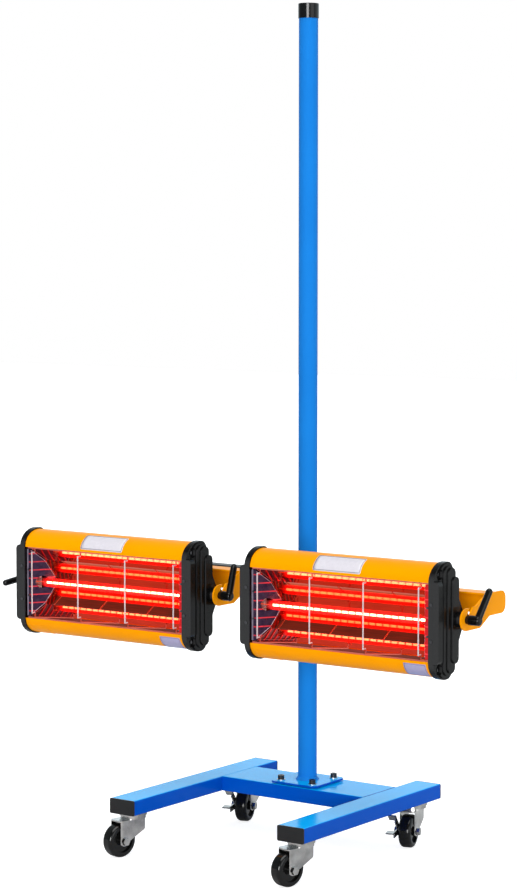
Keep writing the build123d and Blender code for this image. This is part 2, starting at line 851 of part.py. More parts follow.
def guard_wire(x):
    """Upright wire whose ends turn back to the reflector."""
    seat = wire_seat(wire_half_height + wire_radius) - wire_seat_gap
    body = rod_z(wire_radius, -wire_half_height, wire_half_height, x, wire_back)
    for z in (-wire_half_height, wire_half_height):
        body += rod_y(wire_radius, wire_back, seat, x, z)
        body += Pos(x, wire_back, z) * Sphere(wire_radius)
    return one(body)


def rear_cover():
    y0, y1 = housing_depth, housing_depth + cover_depth
    body = block(-cover_half_length, cover_half_length, y0, y1,
                 -cover_half_height, cover_half_height)
    body -= block(cover_wall - cover_half_length, cover_half_length - cover_wall, y0,
                  y1 - cover_wall, cover_wall - cover_half_height,
                  cover_half_height - cover_wall)
    for i in range(vent_count):
        x = (i - (vent_count - 1) / 2) * vent_pitch
        for side in (-1, 0, 1):
            z = side * cover_half_height / 2
            body -= block(x - vent_length / 2, x + vent_length / 2, y1 - cover_wall, y1,
                          z - vent_width / 2, z + vent_width / 2)
    body -= rod_y(gland_neck_radius + thread_gap, y1 - cover_wall, y1, gland_x, -gland_drop)
    return group([one(body), cable_gland(y1)])


def cable_gland(y):
    """Threaded cable gland in the rear cover, seated on its outer face."""
    nose = y + gland_height
    end = nose + gland_nose_height
    start = y - gland_neck_length
    body = hex_y(gland_radius * 2, y, nose, gland_x, -gland_drop)
    body += rod_y(gland_nose_radius, nose, end, gland_x, -gland_drop)
    body += rod_y(gland_neck_radius, start, y, gland_x, -gland_drop)
    return one(body - rod_y(gland_bore, start, end, gland_x, -gland_drop))


def screw_y(x, y, z, radius):
    head = rod_y(radius, y - screw_head_height, y, x, z)
    return one(head + rod_y(screw_radius, y, y + screw_length - seat_gap, x, z))


def screw_x(side, y, z):
    seat = cap_inner + cap_base_thick - pocket_depth
    body = rod_x(screw_head_radius, seat, seat + screw_head_height, y, z)
    body += rod_x(screw_radius, seat - screw_length + seat_gap, seat, y, z)
    return one(body if side > 0 else mirror(body, about=Plane.YZ))


def head_screws():
    screws = []
    for side in (-1, 1):
        for up in (-1, 1):
            screws.append(screw_y(side * panel_screw_x, -cap_skirt, up * panel_screw_z,
                                  screw_head_radius))
            screws.append(screw_y(side * flange_screw_x, end_flange_y, up * flange_screw_z,
                                  flange_screw_head))
            screws.append(screw_x(side, pocket_y, up * pocket_z))
    return group(screws)


# Yoke pieces, drawn with the pivot axis at y = 0, z = 0
def arm_face():
    bottom = -ear_radius
    diag_z = bottom + arm_diag_rise
    outline = Polyline((0, bottom), (arm_bottom_end, bottom),
                       (arm_bottom_end + arm_diag_run, diag_z), (arm_rear, diag_z),
                       (arm_rear, arm_top), (arm_top_start, arm_top),
                       (lip_start, lip_rise), (0, ear_radius), (0, bottom))
    face = make_face(outline)
    rear = [v for v in face.vertices() if abs(v.X - arm_rear) < arm_thick]
    face = fillet(rear, arm_rear_round)
    face += Circle(ear_radius)
    face -= Circle(ear_hole_radius)
    slot = Pos(0, slot_length / 2) * Rectangle(slot_width, slot_length)
    return face - Rot(0, 0, -slot_angle) * slot


def yoke():
    """Sheet bracket: two arms joined by a back plate with a top flange."""
    bottom = arm_diag_rise - ear_radius
    body = block(-arm_inner, arm_inner, yoke_back - arm_thick, yoke_back, bottom, arm_top)
    body += block(-arm_inner, arm_inner, yoke_flange, yoke_back, arm_top - arm_thick, arm_top)
    for x0 in (-arm_inner - arm_thick, arm_inner):
        body += side_plate(arm_face(), x0, x0 + arm_thick)
    body -= rod_y(swivel_bolt_radius + run_gap, yoke_back - arm_thick, yoke_back, 0, head_drop)
    return one(body)


def lever(side, angle):
    """Clamping lever on the pivot axis; its handle is turned by the given angle."""
    x = arm_inner + arm_thick + lever_gap
    hub_end = x + lever_neck_length + lever_hub_length
    body = rod_x(lever_neck_radius, x, x + lever_neck_length)
    hub = rod_x(lever_hub_radius, x + lever_neck_length, hub_end)
    body += fillet(hub.edges().sort_by(Axis.X)[-1], lever_dome)
    body += rod_x(stud_radius, arm_inner, x)
    body += rod_x(stud_tip_radius, boss_end - stud_tip_depth + boss_gap, x)
    handle = Pos(0, 0, handle_length / 2) * Cone(handle_base_radius, handle_tip_radius,
                                                 handle_length)
    handle += Pos(0, 0, handle_length) * Sphere(handle_tip_radius)
    handle = Pos(x + handle_hub_reach, 0, 0) * Rot(0, handle_lean, 0) * handle
    body += Rot(angle, 0, 0) * handle
    return one(body if side > 0 else mirror(body, about=Plane.YZ))


def swivel_bolt():
    front = yoke_back - arm_thick - seat_gap
    rear = pivot_reach - bar_rear
    z = head_drop
    bolt = rod_y(swivel_bolt_radius, front, rear + swivel_nut_height + swivel_thread_reach, 0, z)
    bolt += hex_y(swivel_head_across, front - swivel_head_height, front, 0, z)
    nut = hex_y(swivel_head_across, rear, rear + swivel_nut_height, 0, z)
    nut -= rod_y(swivel_bolt_radius + thread_gap, rear, rear + swivel_nut_height, 0, z)
    return group([one(bolt), one(nut)])


cap_piece = end_cap()
body_pieces = {
    "housing": housing(),
    "left_cap": mirror(cap_piece, about=Plane.YZ),
    "right_cap": cap_piece,
    "reflector": reflector(),
    "reflector_ends": group([reflector_end(-1), reflector_end(1)]),
    "lamp_tube": lamp_tube(),
    "filament": filament(),
    "tube_holders": group([holder(-1), holder(1)]),
    "guard": group(guard_wire(x) for x in wire_places),
    "rear_cover": rear_cover(),
    "screws": head_screws(),
}
lever_angles = {
    "right_head": (right_head_left_angle, right_head_right_angle),
    "left_head": (left_head_left_angle, left_head_right_angle),
}
for head, x in (("left_head", -head_x), ("right_head", head_x)):
    for name, shape in body_pieces.items():
        parts[head + "_" + name] = Pos(x, -head_front, head_level) * shape
    at_pivot = Pos(x, -pivot_reach, head_level)
    left_angle, right_angle = lever_angles[head]
    parts[head + "_yoke"] = at_pivot * yoke()
    parts[head + "_swivel_bolt"] = at_pivot * swivel_bolt()
    parts[head + "_left_lever"] = at_pivot * lever(-1, left_angle)
    parts[head + "_right_lever"] = at_pivot * lever(1, right_angle)

# Final frame: middle of the overall box at x = y = 0, tyres on z = 0
boxes = [shape.bounding_box() for shape in parts.values()]
shift_x = -(min(b.min.X for b in boxes) + max(b.max.X for b in boxes)) / 2
shift_y = -(min(b.min.Y for b in boxes) + max(b.max.Y for b in boxes)) / 2
for name, shape in parts.items():
    export_step(Pos(shift_x, shift_y, 0) * shape, "parts/" + name + ".step")
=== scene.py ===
import json
import math

import bmesh
import bpy
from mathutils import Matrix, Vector


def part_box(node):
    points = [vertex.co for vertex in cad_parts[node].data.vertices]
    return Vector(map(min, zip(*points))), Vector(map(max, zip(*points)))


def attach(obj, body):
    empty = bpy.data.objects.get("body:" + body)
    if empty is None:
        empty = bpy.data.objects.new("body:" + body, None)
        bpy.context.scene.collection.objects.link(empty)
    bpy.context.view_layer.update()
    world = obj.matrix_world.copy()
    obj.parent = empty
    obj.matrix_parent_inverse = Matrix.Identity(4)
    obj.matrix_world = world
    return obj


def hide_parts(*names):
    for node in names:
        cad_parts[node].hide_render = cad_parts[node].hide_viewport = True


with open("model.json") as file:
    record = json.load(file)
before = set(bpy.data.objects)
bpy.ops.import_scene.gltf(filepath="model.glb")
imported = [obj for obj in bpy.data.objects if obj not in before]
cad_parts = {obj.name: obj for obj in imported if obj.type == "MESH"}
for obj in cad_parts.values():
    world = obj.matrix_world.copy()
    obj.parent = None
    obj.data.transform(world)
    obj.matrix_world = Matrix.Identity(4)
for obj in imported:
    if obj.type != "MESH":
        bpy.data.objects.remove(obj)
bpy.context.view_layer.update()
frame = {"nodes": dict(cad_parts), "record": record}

MM = 0.001
HEADS = ("left_head", "right_head")
WHITE = (1.0, 1.0, 1.0)


def middle(node):
    low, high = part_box(node)
    return (low + high) / 2


# Camera: lens in millimetres, places in metres from the foot of the pole's axis
LENS = 103.437
SENSOR = 36.0
FARTHEST_SEEN = 100.0
CAMERA_FROM_POLE = (2.88043, -4.19616, 1.19750)
TARGET_FROM_POLE = (-0.08005, -0.05726, 0.79176)


def add_camera():
    data = bpy.data.cameras.new("camera")
    data.lens = LENS
    data.sensor_width = SENSOR
    data.clip_end = FARTHEST_SEEN
    camera = bpy.data.objects.new("camera", data)
    bpy.context.collection.objects.link(camera)
    foot = Vector((*middle("pole").xy, 0.0))
    camera.location = foot + Vector(CAMERA_FROM_POLE)
    toward = foot + Vector(TARGET_FROM_POLE) - camera.location
    camera.rotation_mode = "QUATERNION"
    camera.rotation_quaternion = toward.to_track_quat("-Z", "Y")
    bpy.context.scene.camera = camera


# Shader building
SOCKETS = {"base_color": "Base Color", "specular": "Specular IOR Level",
           "tint": "Specular Tint", "emission": "Emission Strength",
           "emission_color": "Emission Color"}


def new_material(name):
    material = bpy.data.materials.new(name)
    material.use_nodes = True
    tree = material.node_tree
    return material, tree, tree.nodes["Principled BSDF"]


def set_values(shader, **values):
    for key, value in values.items():
        socket = shader.inputs[SOCKETS.get(key, key.capitalize())]
        socket.default_value = (*value, 1.0) if isinstance(value, tuple) else value


def connect(tree, shader, **sockets):
    for key, socket in sockets.items():
        tree.links.new(socket, shader.inputs[SOCKETS.get(key, key.capitalize())])


def add_node(tree, kind, inputs=None, **settings):
    """Node whose inputs may be plain values or other nodes' outputs."""
    node = tree.nodes.new(kind)
    for key, value in settings.items():
        setattr(node, key, value)
    for key, value in (inputs or {}).items():
        if isinstance(value, bpy.types.NodeSocket):
            tree.links.new(value, node.inputs[key])
        else:
            node.inputs[key].default_value = value
    return node


def compute(tree, operation, first, second=0.0):
    """Result of one sum on numbers or other nodes' outputs."""
    return add_node(tree, "ShaderNodeMath", {0: first, 1: second},
                    operation=operation).outputs[0]


def spread(tree, factor, low, high, start=0.3, end=0.7):
    """Number that goes from low to high as the factor goes from start to end."""
    return add_node(tree, "ShaderNodeMapRange",
                    {"Value": factor, "From Min": start, "From Max": end, "To Min": low,
                     "To Max": high}).outputs["Result"]


def between(tree, factor, low, high):
    """Number that goes from low to high as the factor goes from 0 to 1."""
    return spread(tree, factor, low, high, start=0.0, end=1.0)


def blend_colors(tree, factor, first, second):
    """Mix of two colours; each may be a plain colour or another node's output."""
    mix = add_node(tree, "ShaderNodeMix", data_type="RGBA")
    tree.links.new(factor, mix.inputs[0])
    for value, socket in ((first, mix.inputs[6]), (second, mix.inputs[7])):
        if isinstance(value, bpy.types.NodeSocket):
            tree.links.new(value, socket)
        else:
            socket.default_value = (*value, 1.0)
    return mix.outputs[2]


def clouded(tree, factor, colors):
    """Soft patches of two colours."""
    return blend_colors(tree, spread(tree, factor, 0.0, 1.0), *colors)


def coordinate(tree, kind, axis):
    """One number of a texture coordinate, such as X of the object's own place."""
    vector = add_node(tree, "ShaderNodeTexCoord").outputs[kind]
    return add_node(tree, "ShaderNodeSeparateXYZ", {"Vector": vector}).outputs[axis]


def object_place(tree, stretch=(1.0, 1.0, 1.0)):
    place = add_node(tree, "ShaderNodeTexCoord").outputs["Object"]
    if stretch == (1.0, 1.0, 1.0):
        return place
    return add_node(tree, "ShaderNodeMapping", {"Vector": place, "Scale": stretch}).outputs[0]


def noise(tree, size, detail=2.0, roughness=0.5, stretch=(1.0, 1.0, 1.0)):
    """Noise whose features are about the given size in metres."""
    return add_node(tree, "ShaderNodeTexNoise",
                    {"Vector": object_place(tree, stretch), "Scale": 1.0 / size,
                     "Detail": detail, "Roughness": roughness}).outputs["Fac"]


def bump(tree, height, depth):
    return add_node(tree, "ShaderNodeBump",
                    {"Height": height, "Distance": depth, "Strength": 1.0}).outputs["Normal"]


# Studio: pale floor, white background and three wide soft lights. As a light the background is
# dim in front, bright behind and darker overhead; both ranges are of the direction's Y or Z.
DIM_FRONT = 0.25
BRIGHT_BEHIND = 1.15
FRONT_TO_BEHIND = (-0.3, 0.7)
OVERHEAD_SHARE = 0.4
LEVEL_TO_OVERHEAD = (0.25, 0.7)
BACKDROP_LIGHT = (0.88, 1.0, 1.05)
FLOOR_SIZE = 30.0
FLOOR_COLOR = (0.6, 0.6, 0.6)
FLOOR_ROUGHNESS = 0.9
FLOOR_GLOW = 0.82
# Name, direction, strength, and width in degrees
SUNS = (("overhead_sun", (-0.10, 0.22, -1.0), 2.1, 50.0),
        ("key_sun", (-0.42, 0.90, -0.12), 2.3, 24.0),
        ("fill_sun", (-0.95, 0.25, -0.2), 0.6, 40.0))


def camera_ray(tree):
    return add_node(tree, "ShaderNodeLightPath").outputs["Is Camera Ray"]


def add_world():
    world = bpy.data.worlds.new("studio")
    world.use_nodes = True
    tree = world.node_tree
    background = tree.nodes["Background"]
    behind = spread(tree, coordinate(tree, "Generated", "Y"), DIM_FRONT, BRIGHT_BEHIND,
                    *FRONT_TO_BEHIND)
    overhead = spread(tree, coordinate(tree, "Generated", "Z"), 1.0, OVERHEAD_SHARE,
                      *LEVEL_TO_OVERHEAD)
    seen = camera_ray(tree)
    light = compute(tree, "MULTIPLY", behind, overhead)
    tree.links.new(between(tree, seen, light, 1.0), background.inputs["Strength"])
    tree.links.new(blend_colors(tree, seen, BACKDROP_LIGHT, WHITE), background.inputs["Color"])
    bpy.context.scene.world = world


def add_floor():
    bpy.ops.mesh.primitive_grid_add(x_subdivisions=2, y_subdivisions=2, size=FLOOR_SIZE)
    floor = bpy.context.active_object
    floor.name = "floor"
    material, tree, shader = new_material("floor_white")
    set_values(shader, base_color=FLOOR_COLOR, roughness=FLOOR_ROUGHNESS, specular=0.0,
               emission_color=WHITE)
    connect(tree, shader, emission=between(tree, camera_ray(tree), 0.0, FLOOR_GLOW))
    floor.data.materials.append(material)


def add_suns():
    for name, toward, strength, width in SUNS:
        data = bpy.data.lights.new(name, "SUN")
        data.energy = strength
        data.angle = math.radians(width)
        light = bpy.data.objects.new(name, data)
        bpy.context.collection.objects.link(light)
        light.rotation_mode = "QUATERNION"
        light.rotation_quaternion = Vector(toward).to_track_quat("-Z", "Y")


# Materials. Sizes of grain and clouds, and depths of bumps, are in metres. A pair of heights or
# distances from the head's middle is where one look fades into another, also in metres.
PAINT_CLOUD_SIZE = 0.16
PAINT_PEEL_SIZE = 0.0016
PAINT_PEEL_DEPTH = 0.00001
PAINT_GLOSS_SIZE = 0.03
PAINT_SMOOTHER, PAINT_ROUGHER = 0.03, 0.04
# Range of the normal's upward share over which upward faces take the paler top colour, painted
# light from above
UPWARD = (0.6, 0.95)


def powder_coat(name, colors, roughness, specular, tint, painted_top_light=None):
    """Sprayed and baked paint: fine orange-peel skin, slight clouding, and a paler colour on
    upward faces if one is given, which is painted light from above.
    """
    material, tree, shader = new_material(name)
    color = clouded(tree, noise(tree, PAINT_CLOUD_SIZE, detail=3.0), colors)
    if painted_top_light:
        upward = spread(tree, coordinate(tree, "Normal", "Z"), 0.0, 1.0, *UPWARD)
        color = blend_colors(tree, upward, color, painted_top_light)
    gloss = noise(tree, PAINT_GLOSS_SIZE)
    peel = noise(tree, PAINT_PEEL_SIZE, detail=1.0)
    connect(tree, shader, base_color=color,
            roughness=spread(tree, gloss, roughness - PAINT_SMOOTHER, roughness + PAINT_ROUGHER),
            normal=bump(tree, peel, PAINT_PEEL_DEPTH))
    set_values(shader, specular=specular, tint=tint)
    return material


PLASTIC_PATCH_SIZE = 0.05
PLASTIC_GRAIN_SIZE = 0.0009
PLASTIC_VARIATION = 0.05
# Range of the normal's Y over which front faces take the paler colour, painted light from the
# front
FORWARD = (-0.97, -0.8)


def moulded_plastic(name, colors, roughness, grain_depth, specular=0.5, front=None):
    """Moulded plastic with a fine spark-eroded grain; its front faces may be given a paler colour,
    which is painted light from the front.
    """
    material, tree, shader = new_material(name)
    grain = noise(tree, PLASTIC_GRAIN_SIZE, roughness=0.6)
    color = clouded(tree, noise(tree, PLASTIC_PATCH_SIZE, detail=3.0), colors)
    if front:
        forward = spread(tree, coordinate(tree, "Normal", "Y"), 1.0, 0.0, *FORWARD)
        color = blend_colors(tree, forward, color, front)
    connect(tree, shader, base_color=color,
            roughness=spread(tree, grain, roughness - PLASTIC_VARIATION,
                             roughness + PLASTIC_VARIATION),
            normal=bump(tree, grain, grain_depth))
    set_values(shader, specular=specular)
    return material


STEEL_CLOUD_SIZE = 0.02
STEEL_CRYSTALS_PER_METRE = 700.0
STEEL_LINE_SIZE = 0.0012
STEEL_LINE_STRETCH = (1.0, 1.0, 0.06)
STEEL_LINE_DEPTH = 0.00002
STEEL_SMOOTHER, STEEL_ROUGHER = 0.06, 0.08


def plated_steel(name, colors, roughness, metallic=1.0):
    """Plated pressed steel: cloudy tint, fine drawing lines and tiny crystals."""
    material, tree, shader = new_material(name)
    crystals = add_node(tree, "ShaderNodeTexVoronoi",
                        {"Vector": object_place(tree),
                         "Scale": STEEL_CRYSTALS_PER_METRE}).outputs["Distance"]
    lines = noise(tree, STEEL_LINE_SIZE, stretch=STEEL_LINE_STRETCH)
    connect(tree, shader,
            base_color=clouded(tree, noise(tree, STEEL_CLOUD_SIZE, detail=4.0), colors),
            roughness=spread(tree, crystals, roughness - STEEL_SMOOTHER,
                             roughness + STEEL_ROUGHER),
            normal=bump(tree, lines, STEEL_LINE_DEPTH))
    set_values(shader, metallic=metallic)
    return material


def height_in_head(tree):
    """Height of a point above the middle of the heads, in metres."""
    return compute(tree, "SUBTRACT", coordinate(tree, "Object", "Z"),
                   middle("right_head_lamp_tube").z)


def right_of_head(tree):
    """How far a point is to the right of the middle of its own head, in metres."""
    place = coordinate(tree, "Object", "X")
    centre = compute(tree, "MULTIPLY", compute(tree, "SIGN", place),
                     middle("right_head_lamp_tube").x)
    return compute(tree, "SUBTRACT", place, centre)


SHEET_LINE_SIZE = 0.002
SHEET_LINE_STRETCH = (0.04, 1.0, 1.0)
STAIN_SIZE = 0.045
STAIN_STRETCH = (0.5, 1.0, 1.0)
INNER_FACE_HEIGHT = (0.0425, 0.0445)
# The sheet's faint red emission is a painted glow, strongest near the coil and fading toward the
# ends
SHEET_GLOW_END = (0.13, 0.19)
SHEET_GLOW = (0.04, 0.14)
SHEET_GLOW_COLOR = (1.0, 0.02, 0.01)
SHEET_ROUGHNESS = (0.008, 0.02)
# Red base colours of the polished sheet are a painted reflection of the glowing coil; the inner
# faces get the darker pair, a painted dimmer reflection
OUTER_SHEET_PAINTED_RED = ((0.84, 0.24, 0.17), (0.72, 0.19, 0.13))
INNER_SHEET_PAINTED_RED = ((0.72, 0.13, 0.06), (0.60, 0.10, 0.05))


def polished_reflector(name):
    """Polished sheet that mirrors the coil; its red base colour is a painted reflection of the
    coil's glow, darker on its inner faces as a painted dimmer reflection, with a faint painted red
    glow that fades toward its ends.
    """
    material, tree, shader = new_material(name)
    rolled = noise(tree, SHEET_LINE_SIZE, stretch=SHEET_LINE_STRETCH)
    stains = noise(tree, STAIN_SIZE, detail=3.0, stretch=STAIN_STRETCH)
    height = compute(tree, "ABSOLUTE", height_in_head(tree))
    inner = spread(tree, height, 1.0, 0.0, *INNER_FACE_HEIGHT)
    away = compute(tree, "ABSOLUTE", right_of_head(tree))
    near = spread(tree, away, 1.0, 0.0, *SHEET_GLOW_END)
    connect(tree, shader,
            base_color=blend_colors(tree, inner, clouded(tree, stains, OUTER_SHEET_PAINTED_RED),
                                    clouded(tree, stains, INNER_SHEET_PAINTED_RED)),
            roughness=spread(tree, rolled, *SHEET_ROUGHNESS),
            emission=compute(tree, "MULTIPLY", near, spread(tree, rolled, *SHEET_GLOW)))
    set_values(shader, metallic=1.0, emission_color=SHEET_GLOW_COLOR)
    return material


PLATE_CLOUD_SIZE = 0.012
PLATE_COLORS = ((0.085, 0.05, 0.095), (0.035, 0.02, 0.05))
PLATE_ROUGHNESS = (0.16, 0.3)
PLATE_GLOW_COLOR = (1.0, 0.03, 0.04)
# Red colour and emission on the ribs and the right flange are painted glow, a stand-in for the
# coil's light reflected there
RIB_PITCH = 0.0165
RIB_EDGE = (0.0007, 0.0014)
RIB_PAINTED_GLOW_COLOR = (0.45, 0.05, 0.07)
RIB_UNEVENNESS = (0.35, 1.0)
RIB_GLOW = 0.55
RIGHT_FLANGE = (0.170, 0.176)
FLANGE_PAINTED_GLOW_COLOR = (0.3, 0.01, 0.01)
FLANGE_GLOW = 0.45


def dark_end_plate(name):
    """Dark end sheet with a painted red glow, in red colour and emission, on its pressed ribs and
    the right flange, standing in for the coil's reflected light.
    """
    material, tree, shader = new_material(name)
    tint = noise(tree, PLATE_CLOUD_SIZE, detail=3.0)
    step = compute(tree, "PINGPONG", height_in_head(tree), RIB_PITCH)
    aside = compute(tree, "ABSOLUTE", compute(tree, "SUBTRACT", step, RIB_PITCH / 2))
    rib = spread(tree, aside, 1.0, 0.0, *RIB_EDGE)
    uneven_rib = compute(tree, "MULTIPLY", rib, spread(tree, tint, *RIB_UNEVENNESS))
    right = spread(tree, right_of_head(tree), 0.0, 1.0, *RIGHT_FLANGE)
    plain = blend_colors(tree, right, clouded(tree, tint, PLATE_COLORS), FLANGE_PAINTED_GLOW_COLOR)
    connect(tree, shader, base_color=blend_colors(tree, rib, plain, RIB_PAINTED_GLOW_COLOR),
            roughness=spread(tree, tint, *PLATE_ROUGHNESS),
            emission=compute(tree, "ADD", between(tree, uneven_rib, 0.0, RIB_GLOW),
                             between(tree, right, 0.0, FLANGE_GLOW)))
    set_values(shader, metallic=1.0, emission_color=PLATE_GLOW_COLOR)
    return material


HAZE_SIZE = 0.02
HAZE_STRETCH = (0.2, 1.0, 1.0)
HAZE_GLOW = (1.4, 2.0)
LIT_END = (0.160, 0.172)
CLEAR_ALPHA, LIT_ALPHA = 0.16, 0.42


def glowing_glass(name):
    """Quartz tube lit from inside: deep red beside the coil, clear at its ends."""
    material, tree, shader = new_material(name)
    haze = noise(tree, HAZE_SIZE, stretch=HAZE_STRETCH)
    away = compute(tree, "ABSOLUTE", right_of_head(tree))
    lit = spread(tree, away, 1.0, 0.0, *LIT_END)
    connect(tree, shader,
            emission=compute(tree, "MULTIPLY", spread(tree, haze, *HAZE_GLOW), lit),
            alpha=between(tree, lit, CLEAR_ALPHA, LIT_ALPHA))
    set_values(shader, base_color=(0.35, 0.02, 0.02), roughness=0.05,
               emission_color=(1.0, 0.003, 0.001))
    return material


WIRE_PATCH_SIZE = 0.004


def glowing_wire(name, base_color, emission_color, weakest, strongest):
    """Hot wire whose glow varies slightly along it."""
    material, tree, shader = new_material(name)
    along = noise(tree, WIRE_PATCH_SIZE, detail=1.0)
    connect(tree, shader, emission=spread(tree, along, weakest, strongest))
    set_values(shader, base_color=base_color, roughness=0.6, emission_color=emission_color)
    return material


CERAMIC_GRAIN_SIZE = 0.0007
CERAMIC_GRAIN_DEPTH = 0.00005


def white_ceramic(name, colors, roughness):
    material, tree, shader = new_material(name)
    grain = noise(tree, CERAMIC_GRAIN_SIZE, detail=3.0)
    connect(tree, shader, base_color=blend_colors(tree, grain, *colors),
            normal=bump(tree, grain, CERAMIC_GRAIN_DEPTH))
    set_values(shader, roughness=roughness)
    return material


FILM_PATCH_SIZE = 0.006
FILM_WAVE_SIZE = 0.004
FILM_WAVE_DEPTH = 0.00002


def plastic_film(name, colors, roughness):
    """Thin plastic film or ink: nearly even colour, faint mottling and a smooth surface."""
    material, tree, shader = new_material(name)
    connect(tree, shader,
            base_color=clouded(tree, noise(tree, FILM_PATCH_SIZE, detail=4.0), colors),
            normal=bump(tree, noise(tree, FILM_WAVE_SIZE), FILM_WAVE_DEPTH))
    set_values(shader, roughness=roughness)
    return material


MATERIALS = {
    # The blue paint's paler colour on upward faces is painted light from above
    "blue_paint": powder_coat(
        "blue_powder_coat", ((0.0, 0.080, 0.52), (0.0, 0.072, 0.48)), roughness=0.15,
        specular=0.12, tint=(0.1, 0.8, 1.0), painted_top_light=(0.0, 0.44, 1.0)),
    "yellow_paint": powder_coat(
        "yellow_powder_coat", ((0.95, 0.335, 0.0), (0.92, 0.315, 0.0)), roughness=0.34,
        specular=0.1, tint=(1.0, 0.7, 0.05)),
    "black_paint": powder_coat(
        "black_powder_coat", ((0.010, 0.010, 0.011), (0.014, 0.014, 0.015)), roughness=0.38,
        specular=0.5, tint=WHITE),
    "black_plastic": moulded_plastic(
        "black_moulding", ((0.008, 0.008, 0.009), (0.012, 0.012, 0.013)), roughness=0.33,
        grain_depth=0.00003, specular=0.3),
    "gloss_black_plastic": moulded_plastic(
        "gloss_black_moulding", ((0.003, 0.003, 0.003), (0.005, 0.005, 0.005)), roughness=0.16,
        grain_depth=0.00001, specular=0.3),
    "wheel_plastic": moulded_plastic(
        "wheel_black", ((0.003, 0.003, 0.003), (0.005, 0.005, 0.005)), roughness=0.12,
        grain_depth=0.00001, specular=0.35),
    "black_steel": plated_steel(
        "black_oxide", ((0.012, 0.012, 0.013), (0.02, 0.02, 0.022)), roughness=0.3,
        metallic=0.3),
    "zinc_steel": plated_steel(
        "zinc_plate", ((0.66, 0.65, 0.64), (0.38, 0.375, 0.37)), roughness=0.16),
    "polished_aluminium": polished_reflector("polished_sheet"),
    "quartz": glowing_glass("quartz_glow"),
    "tungsten": glowing_wire(
        "white_hot_coil", (0.9, 0.5, 0.2), (1.0, 0.64, 0.36), weakest=11.0, strongest=15.0),
    "ceramic": white_ceramic(
        "fired_ceramic", ((0.86, 0.84, 0.8), (0.72, 0.7, 0.66)), roughness=0.6),
    "white_enamel": white_ceramic(
        "enamelled_wire", ((0.58, 0.52, 0.54), (0.50, 0.45, 0.47)), roughness=0.3),
}
END_PLATE = dark_end_plate("dark_end_sheet")
# The pole's own paler copy of the blue paint is painted light: the same paint as the beams,
# lighter for the front light on the upright pole
POLE_LIT_PAINT = powder_coat(
    "pole_blue_powder_coat", ((0.010, 0.19, 0.62), (0.009, 0.175, 0.59)), roughness=0.5,
    specular=0.08, tint=(0.1, 0.8, 1.0))
SCREW_STEEL = plated_steel(
    "dark_nickel_screw", ((0.13, 0.13, 0.14), (0.08, 0.08, 0.085)), roughness=0.1)
# The end caps' paler front colour is painted light on the faces toward the front light
CAP_PLASTIC = moulded_plastic(
    "end_cap_moulding", ((0.003, 0.003, 0.003), (0.005, 0.005, 0.005)), roughness=0.24,
    grain_depth=0.00002, specular=0.2, front=(0.028, 0.028, 0.029))
LINK_WIRE_GLOW = glowing_wire(
    "red_hot_link", (0.3, 0.05, 0.03), (1.0, 0.08, 0.02), weakest=1.2, strongest=2.0)
# Pale pinkish wire along each end plate's edge with the trough: a painted highlight
RIM_HIGHLIGHT_STEEL = plated_steel(
    "pale_edge_highlight", ((0.62, 0.50, 0.56), (0.50, 0.38, 0.46)), roughness=0.3)
TRIM_STEEL = plated_steel(
    "violet_edge_trim", ((0.40, 0.34, 0.44), (0.30, 0.25, 0.34)), roughness=0.35, metallic=0.6)
WHITE_FILM = plastic_film("white_film", ((0.66, 0.63, 0.68), (0.61, 0.58, 0.63)), 0.3)
GREY_INK = plastic_film("grey_ink", ((0.06, 0.055, 0.08), (0.05, 0.045, 0.07)), 0.4)
LILAC_FILM = plastic_film("lilac_film", ((0.40, 0.365, 0.56), (0.355, 0.325, 0.51)), 0.3)
LILAC_INK = plastic_film("lilac_ink", ((0.12, 0.13, 0.34), (0.10, 0.11, 0.3)), 0.4)


def dress_nodes():
    slots = {entry["node"]: entry["material_slot"] for entry in frame["record"]["subparts"]}
    for name, node in frame["nodes"].items():
        material = MATERIALS[slots[name]]
        if name.endswith("_reflector_ends"):
            material = END_PLATE
        elif name.endswith("_screws"):
            material = SCREW_STEEL
        elif name == "pole":
            material = POLE_LIT_PAINT
        elif "_head_" in name and "_cap" in name:
            material = CAP_PLASTIC
        node.data.materials.clear()
        node.data.materials.append(material)


# Mesh building
def add_piece(name, build, material, body, replaced=(), smooth=True):
    mesh = bpy.data.meshes.new(name)
    build.to_mesh(mesh)
    build.free()
    for face in mesh.polygons:
        face.use_smooth = smooth
    mesh.materials.append(material)
    piece = bpy.data.objects.new(name, mesh)
    bpy.context.collection.objects.link(piece)
    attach(piece, body)
    if replaced:
        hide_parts(*replaced)


def add_tube(build, path, radius, sides=8, closed=False):
    """Round wire of the given radius along a list of points."""
    count = len(path)
    normal = None
    rings = []
    for i, point in enumerate(path):
        before = path[i - 1] if i > 0 or closed else point
        after = path[(i + 1) % count] if i < count - 1 or closed else point
        along = (after - before).normalized()
        if normal is None:
            normal = along.orthogonal().normalized()
        normal = (normal - along * normal.dot(along)).normalized()
        side = along.cross(normal)
        rings.append([build.verts.new(point + radius * (math.cos(a) * normal + math.sin(a) * side))
                      for a in (2 * math.pi * k / sides for k in range(sides))])
    pairs = list(zip(rings, rings[1:])) + ([(rings[-1], rings[0])] if closed else [])
    for first, second in pairs:
        for k in range(sides):
            following = (k + 1) % sides
            build.faces.new((first[k], first[following], second[following], second[k]))
    if not closed:
        build.faces.new(list(reversed(rings[0])))
        build.faces.new(rings[-1])


def add_bevelled_bar(build, low, high, bevel):
    """Rectangular bar between two corners with small bevelled edges."""
    made = bmesh.ops.create_cube(build, size=1.0)
    size = high - low
    centre = (low + high) / 2
    for vertex in made["verts"]:
        vertex.co = Vector(tuple(centre[i] + vertex.co[i] * size[i] for i in range(3)))
    edges = {edge for vertex in made["verts"] for edge in vertex.link_edges}
    bmesh.ops.bevel(build, geom=list(edges), offset=bevel, segments=2, affect="EDGES")


